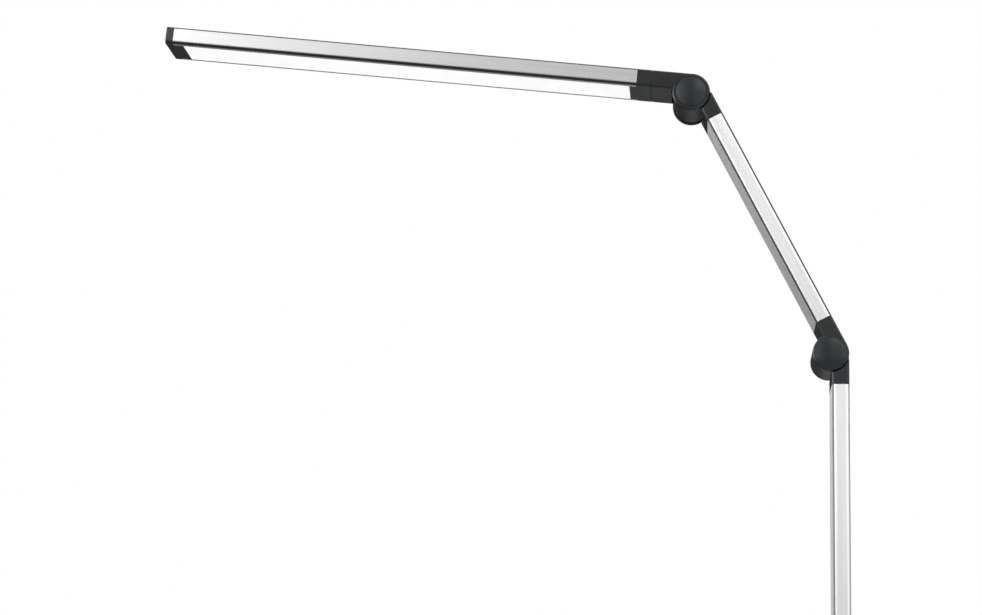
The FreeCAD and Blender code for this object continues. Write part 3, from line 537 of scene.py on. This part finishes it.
for name in ("lower_arm_fork", "lower_arm_knuckle", "upper_arm_fork", "upper_arm_knuckle", "head_far_cap",
             "swivel_base", "clamp_bracket", "clamp_knob", "pressure_plate", "power_button", "cord_grommet",
             "diffuser"):
    softened(name)
for name in ("head_yoke", "head_near_cap"):
    softened(name, SPLIT_EDGE)
extruded("lower_arm_tube", LOWER_ARM, strength=LOWER_ARM_REFLECTION_STRENGTH)
extruded("upper_arm_tube", UPPER_ARM)
extruded("head_housing", HEAD, bordered=False, full=RAIL_FULL)
hinge_caps("base_hinge_caps", LOWER_ARM, "lower_arm_fork")
hinge_caps("elbow_caps", UPPER_ARM, "upper_arm_fork")
hinge_caps("head_hinge_caps", HEAD, "head_yoke")
threaded_spindle()
ringed_pad()
ridged_pad()


# Light, floor and camera

def toward(azimuth, elevation):
    """Direction from the lamp: azimuth 0 is the viewer's side, and positive azimuths are to the right."""
    a = math.radians(azimuth)
    e = math.radians(elevation)
    return Vector((math.sin(a) * math.cos(e), -math.cos(a) * math.cos(e), math.sin(e)))


def card(name, out, width, height, left, right=None, middle=LIT_MIDDLE, distance=CARD_DISTANCE):
    """Glowing flat card round the lamp, seen only in what reflects it.

    It grades from a left level to a right one, as seen from behind. Without a right one, it is even.
    """
    bpy.ops.mesh.primitive_plane_add(size=1, location=middle + distance * out)
    piece = bpy.context.object
    piece.name = name
    piece.scale = (width, height, 1)
    piece.rotation_mode = "QUATERNION"
    piece.rotation_quaternion = (-out).to_track_quat("Z", "Y")
    material = bpy.data.materials.new(name)
    material.use_nodes = True
    tree = material.node_tree
    tree.nodes.clear()
    across = tree.nodes.new("ShaderNodeSeparateXYZ")
    tree.links.new(tree.nodes.new("ShaderNodeTexCoord").outputs["Generated"], across.inputs["Vector"])
    level = tree.nodes.new("ShaderNodeMapRange")
    level.inputs["To Min"].default_value = left if right is None else right
    level.inputs["To Max"].default_value = left
    tree.links.new(across.outputs["X"], level.inputs["Value"])
    glow = tree.nodes.new("ShaderNodeEmission")
    tree.links.new(level.outputs["Result"], glow.inputs["Strength"])
    surface = tree.nodes.new("ShaderNodeOutputMaterial")
    tree.links.new(glow.outputs["Emission"], surface.inputs["Surface"])
    piece.data.materials.append(material)
    piece.visible_camera = False
    piece.visible_diffuse = False
    piece.visible_shadow = False


def soft_light(name, place, target, width, height, watts):
    """Area light, not seen in reflections."""
    data = bpy.data.lights.new(name, "AREA")
    data.shape = "RECTANGLE"
    data.size = width
    data.size_y = height
    data.energy = watts
    lamp = bpy.data.objects.new(name, data)
    bpy.context.scene.collection.objects.link(lamp)
    lamp.location = place
    lamp.rotation_mode = "QUATERNION"
    lamp.rotation_quaternion = (Vector(target) - Vector(place)).to_track_quat("-Z", "Y")
    lamp.visible_glossy = False


def studio_world():
    """White background, a little weaker as a light than as it is seen."""
    world = bpy.data.worlds.new("studio")
    bpy.context.scene.world = world
    world.use_nodes = True
    tree = world.node_tree
    tree.nodes.clear()
    path = tree.nodes.new("ShaderNodeLightPath")
    seen = path.outputs["Is Camera Ray"]
    for ray in ("Is Glossy Ray", "Is Transmission Ray"):
        either = tree.nodes.new("ShaderNodeMath")
        either.operation = "MAXIMUM"
        tree.links.new(seen, either.inputs[0])
        tree.links.new(path.outputs[ray], either.inputs[1])
        seen = either.outputs[0]
    fill = tree.nodes.new("ShaderNodeBackground")
    fill.inputs["Strength"].default_value = FILL_STRENGTH
    white = tree.nodes.new("ShaderNodeBackground")
    white.inputs["Strength"].default_value = WHITE_STRENGTH
    for node in (fill, white):
        node.inputs["Color"].default_value = (1, 1, 1, 1)
    mix = tree.nodes.new("ShaderNodeMixShader")
    out = tree.nodes.new("ShaderNodeOutputWorld")
    tree.links.new(seen, mix.inputs["Fac"])
    tree.links.new(fill.outputs["Background"], mix.inputs[1])
    tree.links.new(white.outputs["Background"], mix.inputs[2])
    tree.links.new(mix.outputs["Shader"], out.inputs["Surface"])


def floor():
    bpy.ops.mesh.primitive_plane_add(size=FLOOR_SIZE, location=(0, 0, cad_low.z - FLOOR_GAP))
    piece = bpy.context.object
    piece.name = "floor"
    finish = plain("pale_floor", (0.815, 0.815, 0.815), (0.825, 0.825, 0.825), (0.7, 0.8), patch=2.0,
                   gloss=0.0)
    piece.data.materials.append(finish)


studio_world()
floor()
soft_light("key_light", place=(-2.2, -3.2, 2.6), target=LIT_MIDDLE, width=2.4, height=2.0, watts=45)
card("front_card", toward(-5, 8), width=0.95, height=5.0, left=1.0, right=0.12)
card("left_softbox", toward(-36, 8), width=1.6, height=2.6, left=2.55)
card("right_grey", toward(15, 8), width=1.15, height=3.0, left=0.75)
card("right_softbox", toward(44, 10), width=1.2, height=2.6, left=2.3)
card("front_low", toward(0, -15), width=3.0, height=1.0, left=0.30, distance=NEAR_CARD)
card("right_high", toward(22, 29), width=1.0, height=0.8, left=1.6, distance=NEAR_CARD)
card("left_panel", toward(-90, 6), width=2.2, height=2.6, left=3.1)
card("right_dark", toward(90, -4), width=3.0, height=1.7, left=0.30)
card("back_card", toward(180, 0), width=6.0, height=1.8, left=0.06)
card("low_card", Vector((0, 0, -1)), width=3.2, height=4.2, left=0.58, right=0.08, middle=LOW_CARD_MIDDLE,
     distance=LIT_MIDDLE.z - cad_low.z - LOW_CARD_RISE)

camera_data = bpy.data.cameras.new("camera")
camera_data.lens = CAMERA_LENS
camera_data.sensor_width = SENSOR_WIDTH
camera_data.clip_end = CAMERA_REACH
camera = bpy.data.objects.new("camera", camera_data)
bpy.context.scene.collection.objects.link(camera)
level = math.cos(CAMERA_PITCH)
ahead = Vector((math.sin(CAMERA_YAW) * level, math.cos(CAMERA_YAW) * level, math.sin(CAMERA_PITCH)))
camera.location = CAMERA_PLACE
camera.rotation_mode = "QUATERNION"
camera.rotation_quaternion = ahead.to_track_quat("-Z", "Y")
bpy.context.scene.camera = camera
bpy.context.scene.view_settings.view_transform = "Standard"

bpy.context.view_layer.update()
